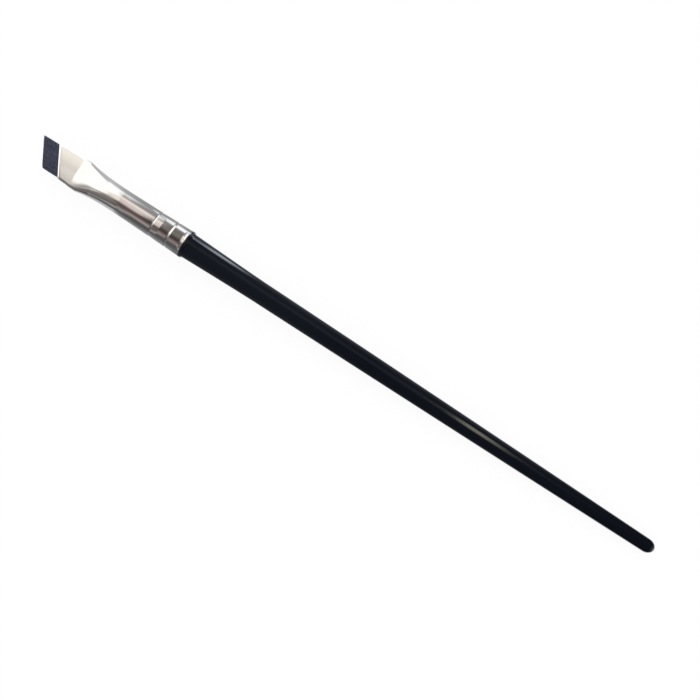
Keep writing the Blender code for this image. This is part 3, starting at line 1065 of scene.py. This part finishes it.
def card_level(finish, angle, mirrored, shares):
    """Brightness of the large cards at a place."""
    rear, tube, blade, head = shares
    toward_tail = mirrored.between(110.0, 220.0) * 0.9
    behind_neck = mirrored.between(30.0, -50.0) * 0.055
    far_wall = mirrored.between(450.0, 900.0) * 0.35
    level = round_ramp(finish, angle, ROUND_HANDLE) * (1.0 - toward_tail) + behind_neck + far_wall
    level = mix_values(rear, level, round_ramp(finish, angle, ROUND_REAR))
    low_part = angle.between(-20.0, -40.0) * angle.between(-105.0, -80.0)
    slide = mirrored.between(-170.0, -184.0) * low_part * 24.0
    level = mix_values(tube, level, round_ramp(finish, angle + slide, ROUND_TUBE))
    level = mix_values(blade, level, round_ramp(finish, angle, ROUND_BLADE))
    return mix_values(head, level, round_ramp(finish, angle, ROUND_HEAD))


# %% [markdown]
# Small windows and cards add the crisp lights. A strip low at the side draws the highlight along
# the handle behind the ferrule, and a fainter one continues it over the crimps. A card low on the
# other side lifts the tube's underside. A window beside the tuft shows in the blade's corner, and
# one far in front shows in the bevel of the mouth.

# %% Small windows and cards


def small_lights(angle, mirrored):
    """Brightness that the small windows and cards add at a place."""
    strip = band(angle, 76.0, 99.0, 8.0) * band(mirrored, -104.0, -80.0, 24.0) * 4.6
    crimp_strip = band(angle, 73.0, 98.0, 6.0) * band(mirrored, -152.0, -112.0, 4.0) * 0.9
    low_card = angle.between(-94.0, -100.0) * band(mirrored, -196.0, -171.0, 6.0) * 0.35
    side_window = angle.between(84.0, 92.0) * mirrored.between(-202.0, -208.0) * 0.9
    front_window = mirrored.between(-378.0, -392.0) * angle.between(-80.0, -60.0) * 1.1
    return strip + crimp_strip + side_window + low_card + front_window


# %% [markdown]
# The cards have a colour as well. Low down on both sides and over the handle they are cool, like
# daylight. Overhead they are warm: pinkish brown over the tube, nearly neutral over the blade,
# and white past the tuft.

# %% Colours of the cards
COOL_HANDLE = (0.82, 0.89, 1.0)
COOL_FERRULE = (0.93, 0.95, 1.0)
TUBE_UPPER = (1.0, 0.92, 0.88)
TUBE_BROWN = (1.0, 0.78, 0.75)
TUBE_LOWER = (1.0, 0.87, 0.84)
BLADE_SHORT_SIDE = (1.0, 0.965, 0.925)
BLADE_LONG_SIDE = (1.0, 0.965, 0.90)
BLADE_BROWN = (1.0, 0.92, 0.895)
HEAD_WHITE = (1.0, 1.0, 0.98)
LAMP_COLOUR = (1.0, 0.98, 0.74)
LAMP_LEVEL = 3.3


def card_tint(finish, angle, shares):
    """Colour of the cards at a place."""
    rear, _, blade, head = shares
    tube_tint = finish.colour(angle.between(6.0, -12.0), TUBE_UPPER, TUBE_BROWN)
    tube_tint = finish.colour(angle.between(-37.0, -46.0), tube_tint, TUBE_LOWER)
    blade_tint = finish.colour(angle.between(-4.0, 4.0), BLADE_SHORT_SIDE, BLADE_LONG_SIDE)
    blade_tint = finish.colour(angle.between(-6.0, -14.0), blade_tint, BLADE_BROWN)
    warm_tint = finish.colour(blade, tube_tint, blade_tint)
    warm_tint = finish.colour(head, warm_tint, HEAD_WHITE)
    warm = rear * band(angle, -62.0, 57.0, 12.0)
    cool_tint = finish.colour(rear, COOL_HANDLE, COOL_FERRULE)
    return finish.colour(warm, cool_tint, warm_tint)


# %% [markdown]
# All of it goes on one half tube with two low wings. A warm lamp high up is the last light, and
# it leaves a small patch on the handle.

# %% The tunnel of cards


def tunnel_finish():
    """The cards and the lamp, as brightness over the tunnel's inside."""
    finish = new_finish("tunnel_of_cards")
    here = finish.node("TexCoord").outputs["Object"]
    split = finish.node("SeparateXYZ", None, {0: here}).outputs
    along, side, up = [Value(finish, socket) / MM for socket in split]
    over = up - AXIS_HEIGHT
    angle = side.math("ARCTAN2", over) * math.degrees(1.0)
    distance = (side * side + over * over).math("SQRT")
    eye = CAMERA_HEIGHT / MM
    mirrored = along * (eye + TUNNEL_RADIUS / MM) / (distance + eye)

    shares = card_shares(angle, mirrored)
    level = card_level(finish, angle, mirrored, shares) + small_lights(angle, mirrored)
    tint = card_tint(finish, angle, shares)
    cards = finish.node("Emission", None, {"Color": tint, "Strength": level})
    lamp_along = mirrored.between(88.0, 105.0) * mirrored.between(142.0, 102.0)
    lamp = band(angle, 9.0, 46.0, 22.0) * lamp_along * LAMP_LEVEL
    glow = finish.node("Emission", None, {"Color": (*LAMP_COLOUR, 1.0), "Strength": lamp})
    both = finish.node("AddShader", None, {0: cards.outputs[0], 1: glow.outputs[0]})
    finish.surface(both.outputs[0])
    return finish


def make_tunnel():
    """A half tube over the brush and a card on each side of it, which only mirrors see."""
    bm = bmesh.new()
    foot = [bm.verts.new((x, -CARD_EDGE, 0.0)) for x in (TUNNEL_START, TUNNEL_END)]
    side = [bm.verts.new((x, -TUNNEL_RADIUS, 0.0)) for x in (TUNNEL_START, TUNNEL_END)]
    edge = bm.edges.new(side)
    bm.faces.new((foot[0], foot[1], side[1], side[0]))
    turned = bmesh.ops.spin(bm, geom=side + [edge], cent=(0, 0, 0), axis=(-1, 0, 0),
                            dvec=(0, 0, 0), angle=math.pi, steps=TUNNEL_STEPS,
                            use_merge=False)["geom_last"]
    last = [item for item in turned if isinstance(item, bmesh.types.BMEdge)]
    wing = bmesh.ops.extrude_edge_only(bm, edges=last)["geom"]
    for item in wing:
        if isinstance(item, bmesh.types.BMVert):
            item.co.y = CARD_EDGE
    bmesh.ops.translate(bm, verts=bm.verts, vec=(0.0, 0.0, CARD_LIFT))
    mesh = bpy.data.meshes.new("tunnel")
    bm.to_mesh(mesh)
    bm.free()
    mesh.materials.append(tunnel_finish().owner)
    tunnel = bpy.data.objects.new("tunnel", mesh)
    bpy.context.scene.collection.objects.link(tunnel)
    tunnel.visible_camera = False
    tunnel.visible_diffuse = False
    tunnel.visible_shadow = False
    tunnel.visible_transmission = False
    print("tunnel top at %.0f mm" % (max(vert.co.z for vert in mesh.vertices) / MM))


make_tunnel()

# %% [markdown]
# The picture is shown as it is lit, without a film look.

# %% Finish
bpy.context.scene.view_settings.view_transform = "Standard"
